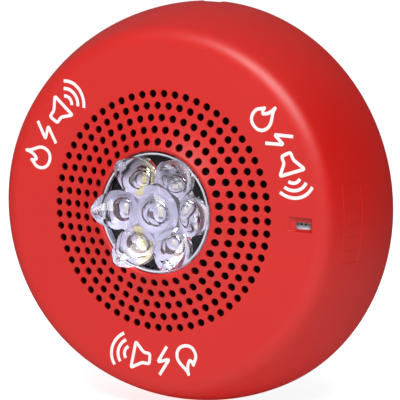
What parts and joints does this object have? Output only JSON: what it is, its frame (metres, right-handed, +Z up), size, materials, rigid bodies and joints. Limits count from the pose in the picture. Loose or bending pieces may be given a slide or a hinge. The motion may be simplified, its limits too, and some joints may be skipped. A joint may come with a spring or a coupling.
{
  "type": "horn strobe",
  "caption": "Round red fire alarm horn strobe with a perforated sound grille round a clear faceted lens, on a plate that screws to an electrical box.",
  "frame": {"origin": "centre of the mounting plate's back face, which lies on the wall or ceiling", "axes": "-Y points out of the front face, +Z is up, +X is to the right as seen from the front"},
  "size_m": [0.1684, 0.0602, 0.168],
  "materials": {
    "red_shell": "satin moulded plastic, red all through",
    "clear_lens": "polished clear polycarbonate",
    "black_plastic": "fine matt moulding",
    "grey_plastic": "matt moulding",
    "white_plastic": "satin moulding",
    "black_rubber": "soft matt rubber",
    "screen_cloth": "fine black acoustic cloth",
    "board_green": "green solder resist on glass fibre board",
    "board_white": "white solder resist on aluminium-backed board",
    "phosphor": "yellow phosphor over a white emitter",
    "aluminium": "plain satin",
    "steel": "bright zinc plate",
    "brass": "plain rolled",
    "ferrite": "dark sintered ferrite",
    "copper": "enamelled copper wire",
    "film": "thin amber polyimide film"
  },
  "bodies": {
    "base": {"mounting_plate": "grey_plastic", "terminal_block": "black_plastic"},
    "latch": {"release_latch": "red_shell"},
    "head": {"front_cover": "red_shell", "grille_screen": "screen_cloth", "strobe_lens": "clear_lens", "lens_gasket": "black_rubber", "optic_holder": "black_plastic", "led_board": "board_white", "heat_sink": "aluminium", "horn_frame": "black_plastic", "horn_yoke": "steel", "horn_magnet": "ferrite", "horn_top_plate": "steel", "horn_cap": "black_plastic", "main_board": "board_green", "capacitor_1": "aluminium", "capacitor_2": "aluminium", "inductor": "ferrite", "control_chip": "black_plastic", "led_connector": "white_plastic", "led_ribbon": "grey_plastic", "board_screw_1": "steel", "board_screw_2": "steel", "board_screw_3": "steel", "candela_switch": "black_plastic", "window_insert": "clear_lens", "tone_switch": "black_plastic", "volume_switch": "black_plastic", "rear_housing": "black_plastic", "contact_header": "brass", "led_1": "phosphor", "led_2": "phosphor", "led_3": "phosphor", "led_4": "phosphor", "led_5": "phosphor", "led_6": "phosphor", "led_7": "phosphor"},
    "candela_selector": {"candela_slider": "white_plastic"},
    "tone_selector": {"tone_slider": "white_plastic"},
    "volume_selector": {"volume_slider": "white_plastic"},
    "sound_cone": {"horn_diaphragm": "film", "voice_coil": "copper"},
    "clamp_1": {"terminal_clamp_1": "brass"},
    "screw_1": {"terminal_screw_1": "steel"},
    "clamp_2": {"terminal_clamp_2": "brass"},
    "screw_2": {"terminal_screw_2": "steel"},
    "clamp_3": {"terminal_clamp_3": "brass"},
    "screw_3": {"terminal_screw_3": "steel"},
    "clamp_4": {"terminal_clamp_4": "brass"},
    "screw_4": {"terminal_screw_4": "steel"}
  },
  "joints": [
    {"name": "head_tilt", "type": "hinge", "parent": "base", "child": "head", "pos_m": [0, -0.003, -0.0785], "axis": [1, 0, 0], "range_deg": [0, 30]},
    {"name": "latch_flex", "type": "hinge", "parent": "base", "child": "latch", "pos_m": [0, -0.0025, 0.07], "axis": [1, 0, 0], "range_deg": [-8, 0], "stiffness_Nm_per_rad": 0.5},
    {"name": "candela_slide", "type": "slide", "parent": "head", "child": "candela_selector", "axis": [0, 0, 1], "range_m": [0, 0.006]},
    {"name": "tone_slide", "type": "slide", "parent": "head", "child": "tone_selector", "axis": [1, 0, 0], "range_m": [0, 0.003]},
    {"name": "volume_slide", "type": "slide", "parent": "head", "child": "volume_selector", "axis": [1, 0, 0], "range_m": [0, 0.003]},
    {"name": "diaphragm_travel", "type": "slide", "parent": "head", "child": "sound_cone", "axis": [0, -1, 0], "range_m": [-0.0003, 0.0003]},
    {"name": "clamp_lift_1", "type": "slide", "parent": "base", "child": "clamp_1", "axis": [0, -1, 0], "range_m": [0, 0.0014]},
    {"name": "screw_turn_1", "type": "hinge", "parent": "clamp_1", "child": "screw_1", "pos_m": [-0.018, -0.0088, -0.019], "axis": [0, -1, 0], "range_deg": [0, 720]},
    {"name": "clamp_lift_2", "type": "slide", "parent": "base", "child": "clamp_2", "axis": [0, -1, 0], "range_m": [0, 0.0014]},
    {"name": "screw_turn_2", "type": "hinge", "parent": "clamp_2", "child": "screw_2", "pos_m": [-0.006, -0.0088, -0.019], "axis": [0, -1, 0], "range_deg": [0, 720]},
    {"name": "clamp_lift_3", "type": "slide", "parent": "base", "child": "clamp_3", "axis": [0, -1, 0], "range_m": [0, 0.0014]},
    {"name": "screw_turn_3", "type": "hinge", "parent": "clamp_3", "child": "screw_3", "pos_m": [0.006, -0.0088, -0.019], "axis": [0, -1, 0], "range_deg": [0, 720]},
    {"name": "clamp_lift_4", "type": "slide", "parent": "base", "child": "clamp_4", "axis": [0, -1, 0], "range_m": [0, 0.0014]},
    {"name": "screw_turn_4", "type": "hinge", "parent": "clamp_4", "child": "screw_4", "pos_m": [0.018, -0.0088, -0.019], "axis": [0, -1, 0], "range_deg": [0, 720]}
  ],
  "couplings": [
    {"joint": "screw_turn_1", "follows": "clamp_lift_1", "rad_per_m": 8976},
    {"joint": "screw_turn_2", "follows": "clamp_lift_2", "rad_per_m": 8976},
    {"joint": "screw_turn_3", "follows": "clamp_lift_3", "rad_per_m": 8976},
    {"joint": "screw_turn_4", "follows": "clamp_lift_4", "rad_per_m": 8976}
  ]
}
